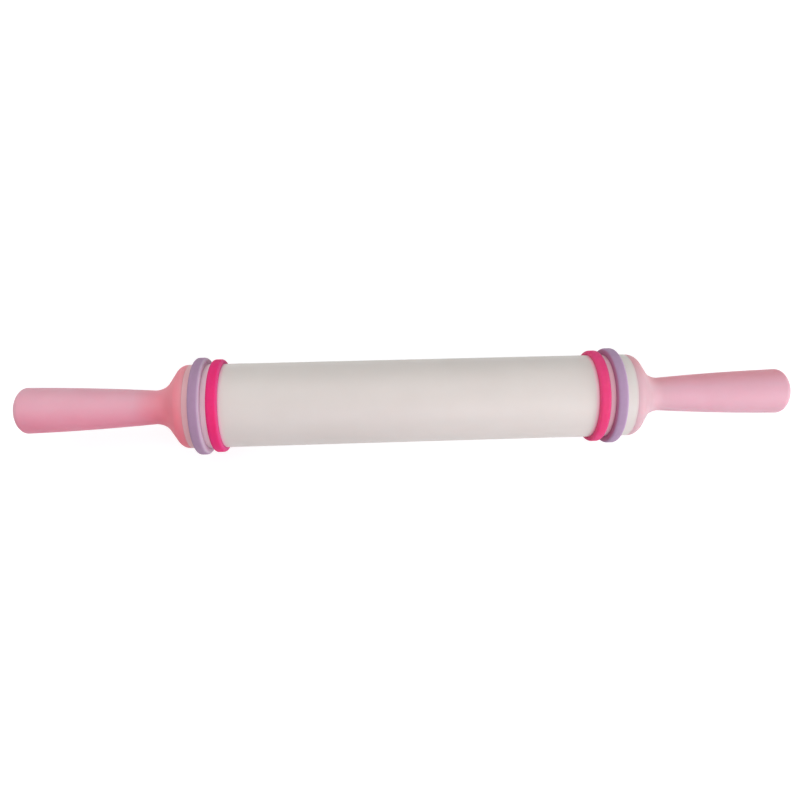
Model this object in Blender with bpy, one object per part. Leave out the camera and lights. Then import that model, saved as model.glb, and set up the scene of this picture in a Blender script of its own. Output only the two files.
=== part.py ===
"""Adjustable rolling pin: a hollow barrel that turns on a steel axle between two
flared handles, with two pairs of slip-on guide rings that set the dough's thickness.

Metres, +Z up. The pin lies along X and rests on its two thick rings, with the
origin on the table under the middle of the barrel. Radii are to the flats of the
many-sided solids, so that a flat of each ring lies on the table.
"""

import math

import bmesh
import bpy

# Gaps between neighbours
SEAT_GAP = 0.0003
RUNNING_GAP = 0.0003
HANDLE_GAP = 0.0003
RING_GAP = 0.0003

# Barrel
BARREL_RADIUS = 0.025
BARREL_LENGTH = 0.262
BARREL_WALL = 0.0025
BARREL_EDGE = 0.0003

# Guide rings: their height is the dough's thickness
RING_WIDTH = 0.0066
RING_EDGE = 0.001
THIN_RING_HEIGHT = 0.0028
THICK_RING_HEIGHT = 0.004
LEFT_THICK_RING_INSET = 0.0038
RIGHT_THICK_RING_INSET = 0.0069
LEFT_RING_SPACING = 0.0032
RIGHT_RING_SPACING = 0.0031

# Handle's outside
HANDLE_LENGTH = 0.1017
BELL_STEP = 0.0001
BELL_LAND = 0.0008
BELL_SLOPE = math.radians(54)
BELL_CORNER_RADIUS = 0.0062
NECK_RADIUS = 0.0101
NECK_FILLET_RADIUS = 0.0125
GRIP_RADIUS = 0.0136
GRIP_BELLY = 0.0005
GRIP_DOME_LENGTH = 0.0062

# Handle's inside
BELL_WALL = 0.0025
BELL_RIM_WALL = 0.0022
COVER_LEDGE = 0.0015
COVER_THICKNESS = 0.0025
COVER_COLLAR_WALL = 0.0015
COVER_COLLAR_LENGTH = 0.005
CORE_RADIUS = 0.0074
CORE_WAIST_RADIUS = 0.0063
CORE_LENGTH = 0.05
CORE_COLLAR_LENGTH = 0.008
GRIP_HOLLOW_RADIUS = 0.0065
GRIP_END_WALL = 0.0065
INSERT_LENGTH = 0.014
INSERT_WALL = 0.0019
INSERT_GROOVE_DEPTH = 0.0006
INSERT_GROOVE_WIDTH = 0.003

# Axle
AXLE_RADIUS = 0.004
THREAD_RADIUS = 0.003
AXLE_EDGE = 0.0005
CLIP_GROOVE_DEPTH = 0.001

# Bearing at each end of the barrel
PLUG_LENGTH = 0.016
PLUG_RECESS = 0.0004
PLUG_RIM = 0.002
PLUG_WEB = 0.0025
PLUG_HUB_WALL = 0.0022
VENT_RADIUS = 0.0035
VENT_OVERRUN = 0.002
BUSH_WALL = 0.0017
BUSH_FLANGE_WIDTH = 0.002
BUSH_FLANGE_THICKNESS = 0.0012
WASHER_WIDTH = 0.0035
WASHER_THICKNESS = 0.001
CLIP_WIDTH = 0.0032
CLIP_THICKNESS = 0.0012
CLIP_MOUTH = 0.0054

# Counts
BARREL_SIDES = 48
HANDLE_SIDES = 48
THIN_RING_SIDES = 48
THICK_RING_SIDES = 32
PLUG_SIDES = 32
SMALL_SIDES = 24
VENT_SIDES = 12
VENT_COUNT = 6
CORNER_STEPS = 5
FILLET_STEPS = 5
GRIP_STEPS = 5
DOME_STEPS = 6

# Places worked out from the sizes above
AXIS_HEIGHT = BARREL_RADIUS + THICK_RING_HEIGHT
BARREL_END = BARREL_LENGTH / 2
BELL_RADIUS = BARREL_RADIUS - BELL_STEP
HANDLE_MOUTH = BARREL_END + HANDLE_GAP
HANDLE_TIP = HANDLE_MOUTH + HANDLE_LENGTH
COVER_RADIUS = BELL_RADIUS - BELL_RIM_WALL - SEAT_GAP
COVER_FACE = HANDLE_MOUTH + SEAT_GAP
COVER_BACK = COVER_FACE + COVER_THICKNESS
CORE_FACE = COVER_BACK + SEAT_GAP
CORE_BACK = CORE_FACE + CORE_LENGTH
INSERT_FACE = CORE_BACK - INSERT_LENGTH
THREAD_START = INSERT_FACE - SEAT_GAP
RUNNING_BORE = AXLE_RADIUS + RUNNING_GAP
INSERT_BORE = THREAD_RADIUS + SEAT_GAP
INSERT_RADIUS = INSERT_BORE + INSERT_WALL
PLUG_FACE = BARREL_END - PLUG_RECESS
PLUG_BACK = PLUG_FACE - PLUG_LENGTH
PLUG_BORE = RUNNING_BORE + BUSH_WALL + SEAT_GAP
BUSH_FLANGE_FACE = PLUG_BACK - SEAT_GAP
BUSH_BACK = BUSH_FLANGE_FACE - BUSH_FLANGE_THICKNESS
WASHER_FACE = BUSH_BACK - RUNNING_GAP
WASHER_BACK = WASHER_FACE - WASHER_THICKNESS
CLIP_FACE = WASHER_BACK - SEAT_GAP
CLIP_BACK = CLIP_FACE - CLIP_THICKNESS
CLIP_GROOVE_RADIUS = AXLE_RADIUS - CLIP_GROOVE_DEPTH

SIDES = {"left": -1, "right": 1}
RING_INSETS = {"left": LEFT_THICK_RING_INSET, "right": RIGHT_THICK_RING_INSET}
RING_SPACINGS = {"left": LEFT_RING_SPACING, "right": RIGHT_RING_SPACING}


def clear_scene():
    for obj in list(bpy.data.objects):
        bpy.data.objects.remove(obj)


def make_material(name, colour, roughness, metallic=0.0):
    material = bpy.data.materials.new(name)
    material.use_nodes = True
    shader = material.node_tree.nodes["Principled BSDF"]
    shader.inputs["Base Color"].default_value = (*colour, 1.0)
    shader.inputs["Roughness"].default_value = roughness
    shader.inputs["Metallic"].default_value = metallic
    return material


def milky_plastic():
    return make_material("milky_plastic", (0.78, 0.75, 0.70), 0.42)


def pink_plastic():
    return make_material("pink_plastic", (0.82, 0.40, 0.48), 0.45)


def thin_ring_rubber():
    return make_material("hot_pink_rubber", (0.86, 0.03, 0.16), 0.38)


def thick_ring_rubber():
    return make_material("lavender_rubber", (0.45, 0.34, 0.55), 0.45)


def bearing_nylon():
    return make_material("bearing_nylon", (0.80, 0.79, 0.74), 0.5)


def plug_plastic():
    return make_material("plug_plastic", (0.75, 0.73, 0.70), 0.5)


def core_plastic():
    return make_material("core_plastic", (0.70, 0.30, 0.38), 0.5)


def bright_steel():
    return make_material("bright_steel", (0.62, 0.62, 0.64), 0.25, 1.0)


def spring_steel():
    return make_material("spring_steel", (0.25, 0.25, 0.27), 0.35, 1.0)


def insert_brass():
    return make_material("insert_brass", (0.72, 0.53, 0.22), 0.3, 1.0)


def finish(bm, name, material, parent, place=0.0):
    """One named object on the pin's axis, from a closed bmesh."""
    bmesh.ops.recalc_face_normals(bm, faces=bm.faces)
    mesh = bpy.data.meshes.new(name)
    bm.to_mesh(mesh)
    bm.free()
    mesh.shade_smooth()
    mesh.set_sharp_from_angle(angle=math.radians(35))
    mesh.materials.append(material)
    obj = bpy.data.objects.new(name, mesh)
    obj.location.x = place
    obj.parent = parent
    bpy.context.scene.collection.objects.link(obj)
    return obj


def turned(outline, sides):
    """A bmesh turned about X from a closed outline of (x, radius) points.

    The start is half a side round from straight down, so that a flat faces down.
    An outline that begins and ends on the axis is already closed there.
    """
    corner_slope = math.tan(math.pi / sides)
    bm = bmesh.new()
    points = [bm.verts.new((x, radius * corner_slope, -radius)) for x, radius in outline]
    pairs = list(zip(points, points[1:]))
    if outline[0][1] > 0 or outline[-1][1] > 0:
        pairs.append((points[-1], points[0]))
    edges = [bm.edges.new(pair) for pair in pairs]
    bmesh.ops.spin(
        bm, geom=points + edges, cent=(0, 0, 0), axis=(1, 0, 0),
        angle=math.tau, steps=sides, use_merge=True,
    )
    bmesh.ops.remove_doubles(bm, verts=bm.verts, dist=SEAT_GAP / 1000)
    return bm


def mirrored(outline, side):
    """The outline of a right-hand piece on the side given, 1 or -1."""
    return [(side * x, radius) for x, radius in outline]


def arc(centre, radius, start, end, steps):
    """Points from the angle start to end, measured from +X towards the radius."""
    turns = [start + (end - start) * k / steps for k in range(steps + 1)]
    return [(centre[0] + radius * math.cos(a), centre[1] + radius * math.sin(a)) for a in turns]


def tube_outline(start, end, inner, outer, edge):
    """A straight tube whose outer edges are cut off by edge."""
    return [
        (start, inner),
        (start, outer - edge),
        (start + edge, outer),
        (end - edge, outer),
        (end, outer - edge),
        (end, inner),
    ]


def plain_tube_outline(start, end, inner, outer):
    return [(start, inner), (start, outer), (end, outer), (end, inner)]


def make_barrel(parent, material):
    outline = tube_outline(
        -BARREL_END, BARREL_END, BARREL_RADIUS - BARREL_WALL, BARREL_RADIUS, BARREL_EDGE
    )
    finish(turned(outline, BARREL_SIDES), "barrel_tube", material, parent)


def vent_cutters(pitch_radius, side):
    """Rods through the plug's web, in a ring round its hub."""
    bm = bmesh.new()
    depth = PLUG_WEB + 2 * VENT_OVERRUN
    middle = side * (PLUG_FACE - PLUG_WEB / 2)
    for k in range(VENT_COUNT):
        turn = math.tau * k / VENT_COUNT
        made = bmesh.ops.create_cone(
            bm, cap_ends=True, segments=VENT_SIDES,
            radius1=VENT_RADIUS, radius2=VENT_RADIUS, depth=depth,
        )
        for vert in made["verts"]:
            across, up, along = vert.co
            vert.co = (
                middle + along,
                pitch_radius * math.sin(turn) + across,
                pitch_radius * math.cos(turn) + up,
            )
    return bm


def cut(obj, cutter_bm, name, parent):
    """Cuts a bmesh out of an object, with a cutter that isn't drawn."""
    cutter = finish(cutter_bm, name, obj.data.materials[0], parent)
    cutter.hide_render = True
    cutter.display_type = "WIRE"
    modifier = obj.modifiers.new(name, "BOOLEAN")
    modifier.operation = "DIFFERENCE"
    modifier.solver = "EXACT"
    modifier.object = cutter


def make_end_plug(word, side, parent, material):
    """The cup in the barrel's end: a rim, a vented web and a hub for the bush."""
    outer = BARREL_RADIUS - BARREL_WALL - SEAT_GAP
    rim = outer - PLUG_RIM
    hub = PLUG_BORE + PLUG_HUB_WALL
    web = PLUG_FACE - PLUG_WEB
    outline = [
        (PLUG_FACE, PLUG_BORE),
        (PLUG_FACE, outer),
        (PLUG_BACK, outer),
        (PLUG_BACK, rim),
        (web, rim),
        (web, hub),
        (PLUG_BACK, hub),
        (PLUG_BACK, PLUG_BORE),
    ]
    name = word + "_end_plug"
    plug = finish(turned(mirrored(outline, side), PLUG_SIDES), name, material, parent)
    cut(plug, vent_cutters((rim + hub) / 2, side), word + "_vents", parent)


def make_bush(word, side, parent, material):
    """The flanged sleeve bearing, pushed into the plug's hub from inside."""
    outer = RUNNING_BORE + BUSH_WALL
    flange = outer + BUSH_FLANGE_WIDTH
    outline = [
        (PLUG_FACE, RUNNING_BORE),
        (PLUG_FACE, outer),
        (BUSH_FLANGE_FACE, outer),
        (BUSH_FLANGE_FACE, flange),
        (BUSH_BACK, flange),
        (BUSH_BACK, RUNNING_BORE),
    ]
    name = word + "_axle_bush"
    finish(turned(mirrored(outline, side), SMALL_SIDES), name, material, parent)


def make_washer(word, side, parent, material):
    outline = plain_tube_outline(
        WASHER_BACK, WASHER_FACE, RUNNING_BORE, RUNNING_BORE + WASHER_WIDTH
    )
    name = word + "_thrust_washer"
    finish(turned(mirrored(outline, side), SMALL_SIDES), name, material, parent)


def clip_mouth_cutter(side):
    """The block that opens the clip upwards, from the axle's middle outwards."""
    inner = CLIP_GROOVE_RADIUS + SEAT_GAP
    outer = inner + CLIP_WIDTH
    bm = bmesh.new()
    bmesh.ops.create_cube(bm, size=1.0)
    for vert in bm.verts:
        along, across, up = vert.co
        vert.co = (
            side * (CLIP_BACK + CLIP_FACE) / 2 + along * 2 * CLIP_THICKNESS,
            across * CLIP_MOUTH,
            outer * (up + 1 / 2) + up * inner,
        )
    return bm


def make_clip(word, side, parent, material):
    """The open spring clip in the axle's groove, its mouth up."""
    inner = CLIP_GROOVE_RADIUS + SEAT_GAP
    outline = plain_tube_outline(CLIP_BACK, CLIP_FACE, inner, inner + CLIP_WIDTH)
    name = word + "_retaining_clip"
    clip = finish(turned(mirrored(outline, side), SMALL_SIDES), name, material, parent)
    cut(clip, clip_mouth_cutter(side), word + "_clip_mouth", parent)


def make_axle(parent, material):
    """The rod: a groove for each clip and a thinner threaded end for each handle."""
    right = [
        (CLIP_BACK - SEAT_GAP, AXLE_RADIUS),
        (CLIP_BACK - SEAT_GAP, CLIP_GROOVE_RADIUS),
        (CLIP_FACE + SEAT_GAP, CLIP_GROOVE_RADIUS),
        (CLIP_FACE + SEAT_GAP, AXLE_RADIUS),
        (THREAD_START, AXLE_RADIUS),
        (THREAD_START, THREAD_RADIUS),
        (CORE_BACK - AXLE_EDGE, THREAD_RADIUS),
        (CORE_BACK, THREAD_RADIUS - AXLE_EDGE),
        (CORE_BACK, 0.0),
    ]
    outline = mirrored(right[::-1], -1) + right
    finish(turned(outline, SMALL_SIDES), "axle_rod", material, parent)


def bell_corner():
    """Where the bell's rim line and its cone would meet, had it no rounded corner."""
    rounding = BELL_CORNER_RADIUS * math.tan(BELL_SLOPE / 2)
    return HANDLE_MOUTH + BELL_LAND + rounding


def cone_radius(x):
    """The radius of the bell's cone at x."""
    return BELL_RADIUS - (x - bell_corner()) * math.tan(BELL_SLOPE)


def neck_corner():
    """Where the cone would meet the neck's line, had it no fillet."""
    return bell_corner() + (BELL_RADIUS - NECK_RADIUS) / math.tan(BELL_SLOPE)


def handle_outside():
    """The handle's outer line, from its mouth to its tip."""
    quarter = math.pi / 2
    corner_centre = (HANDLE_MOUTH + BELL_LAND, BELL_RADIUS - BELL_CORNER_RADIUS)
    corner = arc(corner_centre, BELL_CORNER_RADIUS, quarter, quarter - BELL_SLOPE, CORNER_STEPS)
    neck_start = neck_corner() + NECK_FILLET_RADIUS * math.tan(BELL_SLOPE / 2)
    fillet_centre = (neck_start, NECK_RADIUS + NECK_FILLET_RADIUS)
    fillet = arc(
        fillet_centre, NECK_FILLET_RADIUS, -quarter - BELL_SLOPE, -quarter, FILLET_STEPS
    )
    dome_start = HANDLE_TIP - GRIP_DOME_LENGTH
    grip = []
    for k in range(1, GRIP_STEPS):
        share = k / GRIP_STEPS
        belly = GRIP_BELLY * 4 * share * (1 - share)
        x = neck_start + (dome_start - neck_start) * share
        grip.append((x, NECK_RADIUS + (GRIP_RADIUS - NECK_RADIUS) * share + belly))
    dome = []
    for k in range(DOME_STEPS):
        turn = quarter * k / DOME_STEPS
        x = dome_start + GRIP_DOME_LENGTH * math.sin(turn)
        dome.append((x, GRIP_RADIUS * math.cos(turn)))
    dome.append((HANDLE_TIP, 0.0))
    return [(HANDLE_MOUTH, BELL_RADIUS)] + corner + fillet + grip + dome


def handle_inside():
    """The handle's inner line, from the bottom of its hollow to its mouth."""
    bore = CORE_RADIUS + SEAT_GAP
    bore_end = CORE_BACK + SEAT_GAP
    bottom = HANDLE_TIP - GRIP_END_WALL
    rebate = BELL_RADIUS - BELL_RIM_WALL
    ledge = rebate - COVER_LEDGE
    ledge_x = COVER_BACK + SEAT_GAP
    wall = BELL_WALL / math.cos(BELL_SLOPE)
    cone_start = bell_corner() + (BELL_RADIUS - wall - ledge) / math.tan(BELL_SLOPE)
    cone_end = bell_corner() + (BELL_RADIUS - wall - bore) / math.tan(BELL_SLOPE)
    return [
        (bottom, 0.0),
        (bottom, GRIP_HOLLOW_RADIUS),
        (bore_end, GRIP_HOLLOW_RADIUS),
        (bore_end, bore),
        (cone_end, bore),
        (max(cone_start, ledge_x), min(ledge, cone_radius(ledge_x) - wall)),
        (ledge_x, min(ledge, cone_radius(ledge_x) - wall)),
        (ledge_x, rebate),
        (HANDLE_MOUTH, rebate),
    ]


def make_handle(word, side, parent, material):
    """The moulded handle: a bell as wide as the barrel, a neck and a swelling grip."""
    outline = mirrored(handle_inside() + handle_outside(), side)
    finish(turned(outline, HANDLE_SIDES), word + "_handle", material, parent)


def make_cover(word, side, parent, material):
    """The disc that closes the bell, with a collar that centres the core."""
    collar_bore = CORE_RADIUS + SEAT_GAP
    collar = collar_bore + COVER_COLLAR_WALL
    outline = [
        (COVER_FACE, RUNNING_BORE),
        (COVER_FACE, COVER_RADIUS),
        (COVER_BACK, COVER_RADIUS),
        (COVER_BACK, collar),
        (COVER_BACK + COVER_COLLAR_LENGTH, collar),
        (COVER_BACK + COVER_COLLAR_LENGTH, collar_bore),
        (COVER_BACK, collar_bore),
        (COVER_BACK, RUNNING_BORE),
    ]
    name = word + "_bell_cover"
    finish(turned(mirrored(outline, side), PLUG_SIDES), name, material, parent)


def make_core(word, side, parent, material):
    """The stiff sleeve inside the grip: it takes the axle and, at its far end, the insert."""
    pocket = INSERT_RADIUS + SEAT_GAP
    outline = [
        (CORE_FACE, RUNNING_BORE),
        (CORE_FACE, CORE_RADIUS),
        (CORE_FACE + CORE_COLLAR_LENGTH, CORE_RADIUS),
        (CORE_FACE + CORE_COLLAR_LENGTH, CORE_WAIST_RADIUS),
        (INSERT_FACE - CORE_COLLAR_LENGTH, CORE_WAIST_RADIUS),
        (INSERT_FACE - CORE_COLLAR_LENGTH, CORE_RADIUS),
        (CORE_BACK, CORE_RADIUS),
        (CORE_BACK, pocket),
        (THREAD_START, pocket),
        (THREAD_START, RUNNING_BORE),
    ]
    name = word + "_handle_core"
    finish(turned(mirrored(outline, side), SMALL_SIDES), name, material, parent)


def make_insert(word, side, parent, material):
    """The brass bush that the axle's end screws into, grooved so that it stays put."""
    middle = (INSERT_FACE + CORE_BACK) / 2
    groove = INSERT_RADIUS - INSERT_GROOVE_DEPTH
    outline = [
        (INSERT_FACE, INSERT_BORE),
        (INSERT_FACE, INSERT_RADIUS),
        (middle - INSERT_GROOVE_WIDTH / 2, INSERT_RADIUS),
        (middle - INSERT_GROOVE_WIDTH / 2, groove),
        (middle + INSERT_GROOVE_WIDTH / 2, groove),
        (middle + INSERT_GROOVE_WIDTH / 2, INSERT_RADIUS),
        (CORE_BACK, INSERT_RADIUS),
        (CORE_BACK, INSERT_BORE),
    ]
    name = word + "_threaded_insert"
    finish(turned(mirrored(outline, side), SMALL_SIDES), name, material, parent)


def make_ring(name, height, place, sides, parent, material):
    """A guide ring about its own middle, standing height proud of the barrel."""
    outline = tube_outline(
        -RING_WIDTH / 2, RING_WIDTH / 2,
        BARREL_RADIUS + RING_GAP, BARREL_RADIUS + height, RING_EDGE,
    )
    finish(turned(outline, sides), name, material, parent, place)


def make_rings(word, side, parent, thin_material, thick_material):
    """The thick ring near the barrel's end, and the thin one beside it."""
    thick = BARREL_END - RING_INSETS[word] - RING_WIDTH / 2
    thin = thick - RING_WIDTH - RING_SPACINGS[word]
    make_ring(
        word + "_thick_ring", THICK_RING_HEIGHT, side * thick, THICK_RING_SIDES,
        parent, thick_material,
    )
    make_ring(
        word + "_thin_ring", THIN_RING_HEIGHT, side * thin, THIN_RING_SIDES,
        parent, thin_material,
    )


def make_axis():
    """The empty on the pin's axis that carries every piece."""
    axis = bpy.data.objects.new("pin_axis", None)
    axis.location.z = AXIS_HEIGHT
    bpy.context.scene.collection.objects.link(axis)
    return axis


def main():
    clear_scene()
    axis = make_axis()
    pink = pink_plastic()
    core = core_plastic()
    plug = plug_plastic()
    nylon = bearing_nylon()
    steel = bright_steel()
    spring = spring_steel()
    brass = insert_brass()
    thin = thin_ring_rubber()
    thick = thick_ring_rubber()
    make_barrel(axis, milky_plastic())
    make_axle(axis, steel)
    for word, side in SIDES.items():
        make_end_plug(word, side, axis, plug)
        make_bush(word, side, axis, nylon)
        make_washer(word, side, axis, nylon)
        make_clip(word, side, axis, spring)
        make_handle(word, side, axis, pink)
        make_cover(word, side, axis, core)
        make_core(word, side, axis, core)
        make_insert(word, side, axis, brass)
        make_rings(word, side, axis, thin, thick)


main()
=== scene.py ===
"""Looks for the rolling pin: smooth turned pieces, their materials, soft light and the camera.

Metres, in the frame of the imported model: the pin lies along X, on the floor at z = 0.
"""

import math

import bmesh
import bpy
from mathutils import Matrix, Vector

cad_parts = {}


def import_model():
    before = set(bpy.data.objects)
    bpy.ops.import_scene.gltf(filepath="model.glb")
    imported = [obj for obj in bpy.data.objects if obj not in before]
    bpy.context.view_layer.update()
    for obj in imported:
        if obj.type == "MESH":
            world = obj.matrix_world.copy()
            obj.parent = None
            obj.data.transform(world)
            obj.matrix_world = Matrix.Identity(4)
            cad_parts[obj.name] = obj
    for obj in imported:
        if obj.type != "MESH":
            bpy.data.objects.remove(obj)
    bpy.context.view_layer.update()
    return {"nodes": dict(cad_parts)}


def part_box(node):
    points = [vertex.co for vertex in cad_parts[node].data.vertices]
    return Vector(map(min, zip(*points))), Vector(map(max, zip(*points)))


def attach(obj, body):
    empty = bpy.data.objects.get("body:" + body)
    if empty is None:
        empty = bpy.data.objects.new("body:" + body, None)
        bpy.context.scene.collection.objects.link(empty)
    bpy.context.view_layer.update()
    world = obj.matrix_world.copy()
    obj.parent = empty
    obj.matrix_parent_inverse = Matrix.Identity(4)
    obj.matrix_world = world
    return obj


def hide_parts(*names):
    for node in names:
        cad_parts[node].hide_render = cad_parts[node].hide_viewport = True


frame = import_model()


def middle(node):
    """The middle of a node's box."""
    low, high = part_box(node)
    return (low + high) / 2


def reach(node):
    """Half of a turned node's length along the pin, and its largest radius."""
    low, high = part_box(node)
    return (high.x - low.x) / 2, (high.z - low.z) / 2


# Directions along and across the pin
LEFT = -1
RIGHT = 1
SIDES = {"left": LEFT, "right": RIGHT}
FRONT = -1
BACK = 1

# Turned pieces
AXIS_HEIGHT = middle("barrel_tube").z
STEPS_AROUND = 192
SAME_POINT = 1e-7
SHARP_ANGLE = math.radians(40)

# Barrel
BARREL_END, BARREL_RADIUS = reach("barrel_tube")
BARREL_WALL = 0.0025
BARREL_EDGE = 0.00015
BARREL_EDGE_STEPS = 5

# Handles, outside
MOUTH_GAP = 0.00005
MOUTH = BARREL_END + MOUTH_GAP
MOUTH_EDGE = 0.0001
MOUTH_EDGE_STEPS = 3
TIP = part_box("right_handle")[1].x
BELL_RADIUS = reach("right_handle")[1]
BELL_SLOPE = math.radians(54)
BELL_CORNER = BARREL_END + 0.00426
BELL_CORNER_RADIUS = 0.0062
BELL_CORNER_STEPS = 14
NECK_RADIUS = 0.0101
NECK_FILLET_RADIUS = 0.0125
NECK_FILLET_STEPS = 16
GRIP_RADIUS = 0.0136
GRIP_BELLY = 0.0005
GRIP_STEPS = 24
DOME_LENGTH = 0.0062
DOME_STEPS = 20

# Handles, inside
BELL_WALL = 0.0025
BELL_RIM_WALL = 0.0022
COVER_SEAT_DEPTH = 0.0031
SEAT_GAP = 0.0003
CORE_BORE = reach("right_handle_core")[1] + SEAT_GAP
CORE_BORE_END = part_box("right_handle_core")[1].x + SEAT_GAP
GRIP_HOLLOW_RADIUS = 0.0065
GRIP_END_WALL = 0.0065

# Rings
RINGS = ("left_thick_ring", "left_thin_ring", "right_thin_ring", "right_thick_ring")
RING_GAP = 0.00002
RING_EDGE = 0.0020
RING_EDGE_STEPS = 7
BORE_EDGE = 0.0003
BORE_EDGE_STEPS = 3

# The barrel's colours
MILKY_LIGHT = (0.760, 0.712, 0.675)
MILKY_DARK = (0.725, 0.677, 0.640)
MILKY_STREAK = (0.70, 0.66, 0.63)
STREAK_SHARE = 0.25

# The tints near the barrel's ends, which grow from start to end: at the right the pink handle showing
# through the barrel's edge, at the left painted shade in the lavender ring's shadow with painted pink
# light from the handle
END_TINTS_AND_PAINTED_SHADE = [
    # The right tint is the pink handle showing through the barrel's edge
    {
        "side": RIGHT,
        "colour": (0.80, 0.46, 0.52),
        "share": 0.5,
        "start": BARREL_END - 0.0013,
        "end": BARREL_END + 0.0002,
    },
    # The left tint is painted shade and painted pink light, in the lavender ring's shadow
    {
        "side": LEFT,
        "colour": (0.80, 0.42, 0.46),
        "share": 0.9,
        "start": BARREL_END - 0.0060,
        "end": BARREL_END - 0.0035,
    },
]

# Painted pink light on the barrel at the hot-pink rings, standing for the light that the rings throw
# on it, and how far it reaches past the rings
PAINTED_RING_GLOWS = {
    "left_thin_ring": {
        "side": LEFT,
        "colour": (1.0, 0.56, 0.78),
        "share": 0.4,
        "inwards": 0.0005,
        "outwards": 0.0038,
        "fade": 0.0012,
    },
    "right_thin_ring": {
        "side": RIGHT,
        "colour": (1.0, 0.42, 0.60),
        "share": 0.5,
        "inwards": 0.0010,
        "outwards": 0.0036,
        "fade": 0.0010,
    },
}

# The handles' colours, the places between which each fades into the next, and the painted shade tint
# that makes one face of each handle deeper, which grows with facing() over its range
RIM_TO_BELL = (BARREL_END + 0.0002, BARREL_END + 0.0040)
BELL_TO_GRIP = (BARREL_END + 0.011, BARREL_END + 0.032)
# Both handles are one plastic, painted as a shaded and a lit copy
PINKS = {
    # The left handle's bell and rim are painted shade, deeper than the right handle's
    "left": {
        "grip_light": (0.830, 0.435, 0.525),
        "grip_dark": (0.790, 0.387, 0.478),
        "bell": (0.900, 0.258, 0.320),
        "rim": (0.885, 0.315, 0.365),
        "painted_shade_face": FRONT,
        "painted_shade_tint": (1.0, 0.65, 0.74),
        "painted_shade_range": (0.25, 1.05),
    },
    # The right handle's bell is painted paler, a painted sheen of the key lamp
    "right": {
        "grip_light": (0.775, 0.449, 0.540),
        "grip_dark": (0.738, 0.409, 0.493),
        "bell": (0.720, 0.458, 0.512),
        "rim": (0.725, 0.454, 0.508),
        "painted_shade_face": BACK,
        "painted_shade_tint": (1.13, 0.83, 0.83),
        "painted_shade_range": (0.05, 0.75),
    },
}

# The rings' colours, how far red, green and blue light goes into them, and the places, from a
# ring's middle, between which its own colour meets the painted shade of its left side and the
# painted highlight of its right edge
HOT_PINK_DEPTH = (0.006, 0.001, 0.003)
LAVENDER_DEPTH = (0.003, 0.002, 0.003)
LEFT_SIDE_SHADE_RANGE = (-0.0031, -0.0025)
LEFT_SIDE_SHADE_SHARE = 0.9
RIGHT_EDGE_HIGHLIGHT_RANGE = (0.0019, 0.0029)
RIGHT_EDGE_HIGHLIGHT_SHARE = 0.8
# The left and right ring of each colour are one rubber, painted as lit and shaded copies
RING_LOOKS = {
    "left_thin_ring": {
        "name": "left_hot_pink_look",
        "slot": "hot_pink_rubber",
        "light": (0.91, 0.034, 0.210),
        "dark": (0.85, 0.024, 0.178),
        "left_side_shade": (0.85, 0.034, 0.200),
        "right_edge_highlight": (0.80, 0.085, 0.260),
        "depth": HOT_PINK_DEPTH,
    },
    # The right hot-pink ring is painted paler, a painted sheen of the key lamp
    "right_thin_ring": {
        "name": "right_hot_pink_look",
        "slot": "hot_pink_rubber",
        "light": (0.91, 0.070, 0.238),
        "dark": (0.85, 0.054, 0.203),
        "left_side_shade": (0.88, 0.080, 0.210),
        "right_edge_highlight": (0.80, 0.110, 0.280),
        "depth": HOT_PINK_DEPTH,
    },
    "left_thick_ring": {
        "name": "left_lavender_look",
        "slot": "lavender_rubber",
        "light": (0.440, 0.285, 0.430),
        "dark": (0.400, 0.255, 0.390),
        "left_side_shade": (0.40, 0.22, 0.34),
        "right_edge_highlight": (0.64, 0.53, 0.66),
        "depth": LAVENDER_DEPTH,
    },
    # The right lavender ring is painted lighter, as lit more by the key lamp
    "right_thick_ring": {
        "name": "right_lavender_look",
        "slot": "lavender_rubber",
        "light": (0.475, 0.325, 0.490),
        "dark": (0.435, 0.295, 0.450),
        "left_side_shade": (0.44, 0.17, 0.30),
        "right_edge_highlight": (0.60, 0.46, 0.62),
        "depth": LAVENDER_DEPTH,
    },
}

# Noise: its roughness, and the part of its range that is spread over a material
NOISE_ROUGHNESS = 0.55
NOISE_LOW = 0.3
NOISE_HIGH = 0.7

# How far the inner pieces' roughness goes either way
MOULDED_SWING = 0.05
METAL_SWING = 0.07

# Camera: where it stands along, across and before the pin's axis, and how it is turned
CAMERA_PLACE = (-0.0248, 0.0003, 0.4018)
CAMERA_YAW = math.radians(2.59)
CAMERA_PITCH = math.radians(-0.03)
CAMERA_ROLL = math.radians(1.53)
CAMERA_HEIGHT = math.radians(72)
CAMERA_LENS = 29.78
CAMERA_SENSOR = 36.0
CAMERA_NEAR = 0.01
CAMERA_FAR = 20.0

# World: its strength where it lights the pin, and where it is seen
WORLD_SOFT = 0.42
WORLD_SEEN = 1.0

# Floor: its glow near the pin, and the distances over which that rises to the world's strength
FLOOR_SIZE = 6.0
FLOOR_COLOUR = 0.5
FLOOR_GLOW = 0.72
FLOOR_GLOW_RANGE = (0.35, 1.2)

# Lamps: name, place in the camera's frame, size, power and, where it isn't white, colour
LAMPS = [
    ("key", (0.90, -0.35, 0.40), 0.5, 4.0),
    ("front", (0.45, -0.38, 0.85), 0.6, 1.6),
    ("upper", (0.0, 0.60, 0.80), 0.6, 1.8),
    ("lower", (0.0, -0.60, 0.80), 0.6, 1.6, (1.0, 0.82, 0.98)),
    ("upper_left", (-0.65, 0.60, 0.50), 0.6, 1.6),
]


# Outlines


def arc(centre, radius, start, end, steps):
    """Points of an arc round a centre (x, radius), between two angles in degrees."""
    turns = [math.radians(start + (end - start) * k / steps) for k in range(steps + 1)]
    return [(centre[0] + radius * math.cos(a), centre[1] + radius * math.sin(a)) for a in turns]


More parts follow.
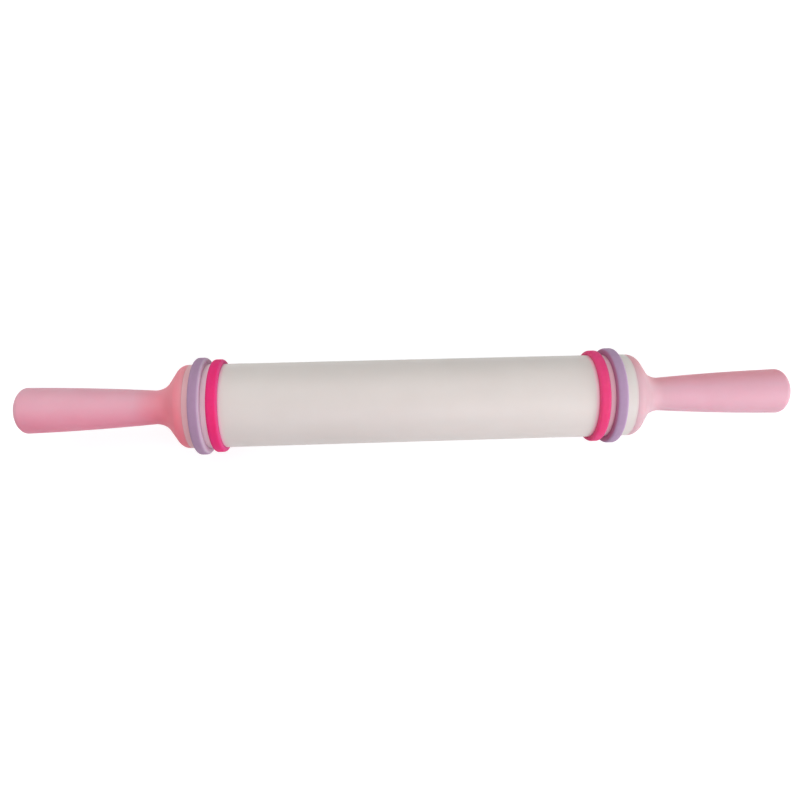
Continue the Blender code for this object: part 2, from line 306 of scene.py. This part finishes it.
def barrel_outline():
    """The tube, its outer edges rounded."""
    bore = BARREL_RADIUS - BARREL_WALL
    edge_centre = (BARREL_END - BARREL_EDGE, BARREL_RADIUS - BARREL_EDGE)
    right = arc(edge_centre, BARREL_EDGE, 90, 0, BARREL_EDGE_STEPS)
    left = [(-x, radius) for x, radius in reversed(right)]
    return [(-BARREL_END, bore)] + left + right + [(BARREL_END, bore)]


def handle_inside():
    """From the bottom of a handle's hollow to its mouth."""
    # The bell's sloping wall, measured square to the pin's axis
    wall = BELL_WALL / math.cos(BELL_SLOPE)
    cone_end = BELL_CORNER + (BELL_RADIUS - wall - CORE_BORE) / math.tan(BELL_SLOPE)
    hollow_end = TIP - GRIP_END_WALL
    seat = MOUTH + COVER_SEAT_DEPTH
    seat_radius = BELL_RADIUS - BELL_RIM_WALL
    return [
        (hollow_end, 0.0),
        (hollow_end, GRIP_HOLLOW_RADIUS),
        (CORE_BORE_END, GRIP_HOLLOW_RADIUS),
        (CORE_BORE_END, CORE_BORE),
        (cone_end, CORE_BORE),
        (seat, BELL_RADIUS - wall - (seat - BELL_CORNER) * math.tan(BELL_SLOPE)),
        (seat, seat_radius),
        (MOUTH, seat_radius),
    ]


def grip_outside(start):
    """From where the grip leaves the neck to the middle of its domed tip."""
    dome_start = TIP - DOME_LENGTH
    points = []
    for k in range(1, GRIP_STEPS):
        share = k / GRIP_STEPS
        # Fullest halfway along the grip
        belly = GRIP_BELLY * 4 * share * (1 - share)
        x = start + (dome_start - start) * share
        points.append((x, NECK_RADIUS + (GRIP_RADIUS - NECK_RADIUS) * share + belly))
    for k in range(DOME_STEPS):
        turn = math.radians(90 * k / DOME_STEPS)
        points.append((dome_start + DOME_LENGTH * math.sin(turn), GRIP_RADIUS * math.cos(turn)))
    return points + [(TIP, 0.0)]


def handle_outline():
    """The handle, from the bottom of its hollow to the mouth and then outside to the tip."""
    slope = math.degrees(BELL_SLOPE)
    rim_centre = (MOUTH + MOUTH_EDGE, BELL_RADIUS - MOUTH_EDGE)
    rim = arc(rim_centre, MOUTH_EDGE, 180, 90, MOUTH_EDGE_STEPS)
    rounding = BELL_CORNER_RADIUS * math.tan(BELL_SLOPE / 2)
    corner_centre = (BELL_CORNER - rounding, BELL_RADIUS - BELL_CORNER_RADIUS)
    corner = arc(corner_centre, BELL_CORNER_RADIUS, 90, 90 - slope, BELL_CORNER_STEPS)
    neck_corner = BELL_CORNER + (BELL_RADIUS - NECK_RADIUS) / math.tan(BELL_SLOPE)
    neck_start = neck_corner + NECK_FILLET_RADIUS * math.tan(BELL_SLOPE / 2)
    fillet_centre = (neck_start, NECK_RADIUS + NECK_FILLET_RADIUS)
    fillet = arc(fillet_centre, NECK_FILLET_RADIUS, -90 - slope, -90, NECK_FILLET_STEPS)
    return handle_inside() + rim + corner + fillet + grip_outside(neck_start)


def ring_outline(half, outer):
    """A band with rounded outer edges and lightly rounded bore edges."""
    edge_x = half - RING_EDGE
    edge_radius = outer - RING_EDGE
    bore_x = half - BORE_EDGE
    bore_radius = BARREL_RADIUS + RING_GAP + BORE_EDGE
    return (
        arc((edge_x, edge_radius), RING_EDGE, 90, 0, RING_EDGE_STEPS)
        + arc((bore_x, bore_radius), BORE_EDGE, 0, -90, BORE_EDGE_STEPS)
        + arc((-bore_x, bore_radius), BORE_EDGE, -90, -180, BORE_EDGE_STEPS)
        + arc((-edge_x, edge_radius), RING_EDGE, 180, 90, RING_EDGE_STEPS)
    )


# Nodes


def calculate(tree, operation, a, b):
    """A Math node's result from two values, each a node's output or a number."""
    node = tree.nodes.new("ShaderNodeMath")
    node.operation = operation
    for value, socket in zip((a, b), node.inputs):
        if isinstance(value, bpy.types.NodeSocket):
            tree.links.new(value, socket)
        else:
            socket.default_value = value
    return node.outputs[0]


def spread(tree, value, low, high, start, end):
    """From low where a value is start to high where it is end, and level beyond them."""
    node = tree.nodes.new("ShaderNodeMapRange")
    node.inputs["From Min"].default_value = start
    node.inputs["From Max"].default_value = end
    node.inputs["To Min"].default_value = low
    node.inputs["To Max"].default_value = high
    tree.links.new(value, node.inputs["Value"])
    return node.outputs["Result"]


def length(tree, vector):
    """A vector's length."""
    node = tree.nodes.new("ShaderNodeVectorMath")
    node.operation = "LENGTH"
    tree.links.new(vector, node.inputs[0])
    return node.outputs["Value"]


def seen_by(tree, *rays):
    """1 for the kinds of ray that are named, and 0 for all others."""
    path = tree.nodes.new("ShaderNodeLightPath")
    result = path.outputs[rays[0]]
    for ray in rays[1:]:
        result = calculate(tree, "MAXIMUM", result, path.outputs[ray])
    return result


class Look:
    """A material, and a small builder for its nodes."""

    def __init__(self, name):
        self.material = bpy.data.materials.new(name)
        self.material.use_nodes = True
        self.tree = self.material.node_tree
        self.shader = self.tree.nodes["Principled BSDF"]
        self.coords = self.tree.nodes.new("ShaderNodeTexCoord").outputs["Object"]
        self.normal = None

    def link(self, a, b):
        self.tree.links.new(a, b)

    def surface(self, base, rough):
        """The colour and the roughness, which vary over the surface."""
        self.link(base, self.shader.inputs["Base Color"])
        self.link(rough, self.shader.inputs["Roughness"])

    def settings(self, values):
        """What is the same all over the surface."""
        for name, value in values.items():
            self.shader.inputs[name].default_value = value

    def noise(self, scale, detail, squeeze=(1, 1, 1)):
        """Noise, squeezed along each axis, or stretched where the squeeze is under 1."""
        mapping = self.tree.nodes.new("ShaderNodeMapping")
        mapping.inputs["Scale"].default_value = squeeze
        self.link(self.coords, mapping.inputs["Vector"])
        node = self.tree.nodes.new("ShaderNodeTexNoise")
        node.inputs["Scale"].default_value = scale
        node.inputs["Detail"].default_value = detail
        node.inputs["Roughness"].default_value = NOISE_ROUGHNESS
        self.link(mapping.outputs["Vector"], node.inputs["Vector"])
        return node.outputs["Fac"]

    def spread(self, value, low, high, start=NOISE_LOW, end=NOISE_HIGH):
        """From low at start to high at end, which suit noise if they aren't given."""
        return spread(self.tree, value, low, high, start, end)

    def mix(self, share, a, b, blend="MIX"):
        """Colour a where the share is 0 and, where it is 1, b or with MULTIPLY their product."""
        node = self.tree.nodes.new("ShaderNodeMix")
        node.data_type = "RGBA"
        node.blend_type = blend
        node.clamp_factor = True
        self.link(share, node.inputs[0])
        for value, socket in ((a, node.inputs[6]), (b, node.inputs[7])):
            if isinstance(value, tuple):
                socket.default_value = (*value, 1.0)
            else:
                self.link(value, socket)
        return node.outputs[2]

    def part(self, axis):
        """The X, Y or Z of the object's coordinates."""
        split = self.tree.nodes.new("ShaderNodeSeparateXYZ")
        self.link(self.coords, split.inputs["Vector"])
        return split.outputs[axis]

    def along(self, side=RIGHT):
        """The distance from the object's origin towards the right or the left."""
        return calculate(self.tree, "MULTIPLY", self.part("X"), side)

    def facing(self, face):
        """From 1 at a round piece's front, or back, to -1 at the other, and 0 at its tip's middle."""
        flat = self.tree.nodes.new("ShaderNodeVectorMath")
        flat.operation = "MULTIPLY"
        flat.inputs[1].default_value = (0, 1, 1)
        self.link(self.coords, flat.inputs[0])
        radius = length(self.tree, flat.outputs["Vector"])
        least = calculate(self.tree, "MAXIMUM", radius, NECK_RADIUS)
        share = calculate(self.tree, "DIVIDE", self.part("Y"), least)
        return calculate(self.tree, "MULTIPLY", share, face)

    def band(self, value, start, end, fade):
        """1 between start and end, and 0 a fade beyond them."""
        rise = self.spread(value, 0, 1, start - fade, start)
        fall = self.spread(value, 1, 0, end, end + fade)
        return calculate(self.tree, "MULTIPLY", rise, fall)

    def bump(self, height, strength, distance):
        """A layer of relief over those already there."""
        node = self.tree.nodes.new("ShaderNodeBump")
        node.inputs["Strength"].default_value = strength
        node.inputs["Distance"].default_value = distance
        self.link(height, node.inputs["Height"])
        if self.normal:
            self.link(self.normal, node.inputs["Normal"])
        self.normal = node.outputs["Normal"]
        self.link(self.normal, self.shader.inputs["Normal"])


# Materials


def with_painted_ring_glow(look, base, node, ring_glow):
    """A colour with the painted pink light that a hot-pink ring throws on the barrel round it."""
    place = abs(middle(node).x)
    half = reach(node)[0]
    start = place - half - ring_glow["inwards"]
    end = place + half + ring_glow["outwards"]
    band = look.band(look.along(ring_glow["side"]), start, end, ring_glow["fade"])
    return look.mix(look.spread(band, 0, ring_glow["share"], 0, 1), base, ring_glow["colour"])


def milky_plastic():
    """The barrel's satin plastic, with faint streaks along it, tints at its ends, the left one
    painted shade, and painted pink light at the hot-pink rings.
    """
    look = Look("milky_plastic_look")
    cloud = look.spread(look.noise(28, detail=4), 0, 1)
    streak = look.spread(look.noise(90, detail=3, squeeze=(0.08, 1, 1)), 0, 1)
    base = look.mix(cloud, MILKY_DARK, MILKY_LIGHT)
    base = look.mix(look.spread(streak, 0, STREAK_SHARE, 0, 1), base, MILKY_STREAK)
    # The left end tint is painted shade and pink light; the right one is the handle showing through
    for end_tint_and_shade in END_TINTS_AND_PAINTED_SHADE:
        place = look.along(end_tint_and_shade["side"])
        share = look.spread(place, 0, end_tint_and_shade["share"], end_tint_and_shade["start"], end_tint_and_shade["end"])
        base = look.mix(share, base, end_tint_and_shade["colour"])
    # Painted pink light from the hot-pink rings, which stays on the barrel when they slide
    for node, ring_glow in PAINTED_RING_GLOWS.items():
        base = with_painted_ring_glow(look, base, node, ring_glow)
    look.surface(base, look.spread(look.noise(160, detail=3), 0.40, 0.52))
    look.settings({
        "Subsurface Weight": 0.5,
        "Subsurface Radius": (1.0, 0.8, 0.75),
        "Subsurface Scale": 0.0025,
        "IOR": 1.5,
    })
    look.bump(look.noise(60, detail=2, squeeze=(0.1, 1, 1)), strength=0.10, distance=0.0006)
    look.bump(look.noise(1400, detail=2), strength=0.08, distance=0.0002)
    return look.material


def pink_plastic(word):
    """A handle's plastic, whose colour changes from rim to grip, with painted shade on one face and a
    bell painted darker on the left handle and paler on the right.
    """
    pink = PINKS[word]
    side = SIDES[word]
    look = Look(word + "_pink_plastic_look")
    cloud = look.spread(look.noise(35, detail=4), 0, 1)
    base = look.mix(cloud, pink["grip_dark"], pink["grip_light"])
    base = look.mix(look.spread(look.along(side), 1, 0, *BELL_TO_GRIP), base, pink["bell"])
    base = look.mix(look.spread(look.along(side), 1, 0, *RIM_TO_BELL), base, pink["rim"])
    # Painted shade: one face made deeper, as where less light falls
    painted_shade = look.spread(look.facing(pink["painted_shade_face"]), 0, 1, *pink["painted_shade_range"])
    base = look.mix(painted_shade, base, pink["painted_shade_tint"], "MULTIPLY")
    look.surface(base, look.spread(look.noise(220, detail=3), 0.52, 0.62))
    look.settings({
        "Subsurface Weight": 0.5,
        "Subsurface Radius": (1.0, 0.4, 0.5),
        "Subsurface Scale": 0.003,
        "IOR": 1.5,
    })
    look.bump(look.noise(45, detail=2), strength=0.10, distance=0.0008)
    look.bump(look.noise(1600, detail=2), strength=0.08, distance=0.0002)
    return look.material


def rubber(ring):
    """Matt translucent rubber, with painted shade on the ring's left side and a painted highlight
    along its right edge.
    """
    look = Look(ring["name"])
    base = look.mix(look.spread(look.noise(120, detail=4), 0, 1), ring["dark"], ring["light"])
    # Painted shade on the left side, which faces away from the key lamp
    left_side_shade = look.spread(look.along(), LEFT_SIDE_SHADE_SHARE, 0, *LEFT_SIDE_SHADE_RANGE)
    base = look.mix(left_side_shade, base, ring["left_side_shade"])
    # Painted highlight along the right edge, which faces the key lamp
    right_edge_highlight = look.spread(look.along(), 0, RIGHT_EDGE_HIGHLIGHT_SHARE, *RIGHT_EDGE_HIGHLIGHT_RANGE)
    base = look.mix(right_edge_highlight, base, ring["right_edge_highlight"])
    look.surface(base, look.spread(look.noise(260, detail=3), 0.64, 0.76))
    look.settings({
        "Subsurface Weight": 0.6,
        "Subsurface Radius": ring["depth"],
        "Subsurface Scale": 1.0,
        "IOR": 1.4,
        "Specular IOR Level": 0.3,
    })
    look.bump(look.noise(150, detail=2), strength=0.12, distance=0.0004)
    look.bump(look.noise(2200, detail=2), strength=0.10, distance=0.00015)
    return look.material


def moulded(name, light, dark, roughness):
    """Plain plastic for the pieces inside."""
    look = Look(name)
    base = look.mix(look.spread(look.noise(90, detail=4), 0, 1), dark, light)
    low = roughness - MOULDED_SWING
    high = roughness + MOULDED_SWING
    look.surface(base, look.spread(look.noise(200, detail=3), low, high))
    look.bump(look.noise(900, detail=2), strength=0.15, distance=0.0002)
    return look.material


def turned_metal(name, light, dark, roughness):
    """Metal with fine marks round the axis."""
    look = Look(name)
    marks = look.noise(40, detail=3, squeeze=(60, 1, 1))
    base = look.mix(look.spread(marks, 0, 1), dark, light)
    low = roughness - METAL_SWING
    high = roughness + METAL_SWING
    look.surface(base, look.spread(marks, low, high))
    look.settings({"Metallic": 1.0})
    look.bump(marks, strength=0.15, distance=0.0001)
    return look.material


# Pieces


def turned(name, outline, side=RIGHT, place=0.0):
    """A smooth closed mesh, turned about the pin's axis from an outline of (x, radius) points."""
    bm = bmesh.new()
    points = [bm.verts.new((side * x, 0.0, radius)) for x, radius in outline]
    edges = [bm.edges.new(pair) for pair in zip(points, points[1:])]
    if outline[0][1] > 0 or outline[-1][1] > 0:
        edges.append(bm.edges.new((points[-1], points[0])))
    bmesh.ops.spin(
        bm, geom=points + edges, cent=(0, 0, 0), axis=(1, 0, 0),
        angle=math.tau, steps=STEPS_AROUND, use_merge=True,
    )
    bmesh.ops.remove_doubles(bm, verts=bm.verts, dist=SAME_POINT)
    bmesh.ops.recalc_face_normals(bm, faces=bm.faces)
    mesh = bpy.data.meshes.new(name)
    bm.to_mesh(mesh)
    bm.free()
    mesh.shade_smooth()
    mesh.set_sharp_from_angle(angle=SHARP_ANGLE)
    obj = bpy.data.objects.new(name, mesh)
    obj.location = (place, 0, AXIS_HEIGHT)
    bpy.context.scene.collection.objects.link(obj)
    return obj


def put_in_place(obj, body, node, material):
    """Lets a piece stand for a node, on its body and with its material."""
    obj.data.materials.append(material)
    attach(obj, body)
    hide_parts(node)


def make_outer_pieces():
    """The barrel, the handles and the rings, turned smooth in place of their nodes."""
    barrel = turned("barrel", barrel_outline())
    put_in_place(barrel, "barrel", "barrel_tube", milky_plastic())
    for word, side in SIDES.items():
        grip = turned(word + "_grip", handle_outline(), side)
        put_in_place(grip, "handles", word + "_handle", pink_plastic(word))
    for node in RINGS:
        ring = RING_LOOKS[node]
        band = turned(node + "_band", ring_outline(*reach(node)), place=middle(node).x)
        put_in_place(band, node + "_body", node, rubber(ring))


def dress_inner_pieces():
    """Materials for the nodes inside the pin, which are shown as they are."""
    nylon = moulded("bearing_nylon_look", (0.80, 0.78, 0.72), (0.74, 0.72, 0.66), 0.45)
    plug = moulded("plug_plastic_look", (0.76, 0.73, 0.70), (0.70, 0.68, 0.65), 0.5)
    core = moulded("core_plastic_look", (0.72, 0.31, 0.39), (0.66, 0.27, 0.35), 0.5)
    steel = turned_metal("bright_steel_look", (0.66, 0.66, 0.67), (0.56, 0.56, 0.58), 0.28)
    spring = turned_metal("spring_steel_look", (0.28, 0.28, 0.31), (0.20, 0.20, 0.23), 0.38)
    brass = turned_metal("insert_brass_look", (0.76, 0.56, 0.24), (0.66, 0.47, 0.18), 0.32)
    inner = {
        "end_plug": plug,
        "axle_bush": nylon,
        "thrust_washer": nylon,
        "retaining_clip": spring,
        "bell_cover": core,
        "handle_core": core,
        "threaded_insert": brass,
    }
    for word in SIDES:
        for kind, material in inner.items():
            frame["nodes"][word + "_" + kind].data.materials[0] = material
    frame["nodes"]["axle_rod"].data.materials[0] = steel


# Floor, light and camera


def floor():
    """A pale floor that takes the pin's shadow, with a glow that only camera and gloss see."""
    bpy.ops.mesh.primitive_plane_add(size=FLOOR_SIZE, location=(0, 0, 0))
    obj = bpy.context.object
    obj.name = "floor"
    material = bpy.data.materials.new("floor_white")
    material.use_nodes = True
    tree = material.node_tree
    tree.nodes.clear()
    diffuse = tree.nodes.new("ShaderNodeBsdfDiffuse")
    diffuse.inputs["Color"].default_value = (FLOOR_COLOUR, FLOOR_COLOUR, FLOOR_COLOUR, 1)
    away = length(tree, tree.nodes.new("ShaderNodeTexCoord").outputs["Object"])
    level = spread(tree, away, FLOOR_GLOW, WORLD_SEEN, *FLOOR_GLOW_RANGE)
    seen = seen_by(tree, "Is Camera Ray", "Is Glossy Ray")
    glow = tree.nodes.new("ShaderNodeEmission")
    tree.links.new(calculate(tree, "MULTIPLY", seen, level), glow.inputs["Strength"])
    both = tree.nodes.new("ShaderNodeAddShader")
    tree.links.new(diffuse.outputs[0], both.inputs[0])
    tree.links.new(glow.outputs[0], both.inputs[1])
    out = tree.nodes.new("ShaderNodeOutputMaterial")
    tree.links.new(both.outputs[0], out.inputs["Surface"])
    obj.data.materials.append(material)


def world():
    """White where it is seen or mirrored, and a plain soft light otherwise."""
    made = bpy.data.worlds.new("studio")
    bpy.context.scene.world = made
    made.use_nodes = True
    tree = made.node_tree
    seen = seen_by(tree, "Is Camera Ray", "Is Glossy Ray", "Is Transmission Ray")
    background = tree.nodes["Background"]
    background.inputs["Color"].default_value = (1.0, 1.0, 1.0, 1.0)
    strength = spread(tree, seen, WORLD_SOFT, WORLD_SEEN, 0, 1)
    tree.links.new(strength, background.inputs["Strength"])


def to_world():
    """From the camera's frame (along the pin, up the picture, towards the viewer) to the world."""
    cosine = math.cos(CAMERA_HEIGHT)
    sine = math.sin(CAMERA_HEIGHT)
    return Matrix(((1, 0, 0), (0, sine, -cosine), (0, cosine, sine)))


def softbox(name, place, size, power, colour=(1, 1, 1)):
    """A square lamp at a place in the camera's frame, aimed at the pin."""
    light = bpy.data.lights.new(name, "AREA")
    light.shape = "SQUARE"
    light.size = size
    light.energy = power
    light.color = colour
    obj = bpy.data.objects.new(name, light)
    spot = to_world() @ Vector(place)
    obj.location = spot + Vector((0, 0, AXIS_HEIGHT))
    obj.rotation_mode = "QUATERNION"
    obj.rotation_quaternion = (-spot).to_track_quat("-Z", "Y")
    bpy.context.scene.collection.objects.link(obj)


def camera():
    """The camera at the photograph's place and angle."""
    yaw = Matrix.Rotation(CAMERA_YAW, 3, "Y")
    pitch = Matrix.Rotation(CAMERA_PITCH, 3, "X")
    roll = Matrix.Rotation(CAMERA_ROLL, 3, "Z")
    turn = to_world() @ (roll @ pitch @ yaw).transposed()
    data = bpy.data.cameras.new("camera")
    data.sensor_width = CAMERA_SENSOR
    data.lens = CAMERA_LENS
    data.clip_start = CAMERA_NEAR
    data.clip_end = CAMERA_FAR
    obj = bpy.data.objects.new("camera", data)
    place = to_world() @ Vector(CAMERA_PLACE) + Vector((0, 0, AXIS_HEIGHT))
    obj.matrix_world = Matrix.Translation(place) @ turn.to_4x4()
    bpy.context.scene.collection.objects.link(obj)
    bpy.context.scene.camera = obj


make_outer_pieces()
dress_inner_pieces()
floor()
world()
for lamp in LAMPS:
    softbox(*lamp)
camera()
bpy.context.scene.view_settings.view_transform = "Standard"
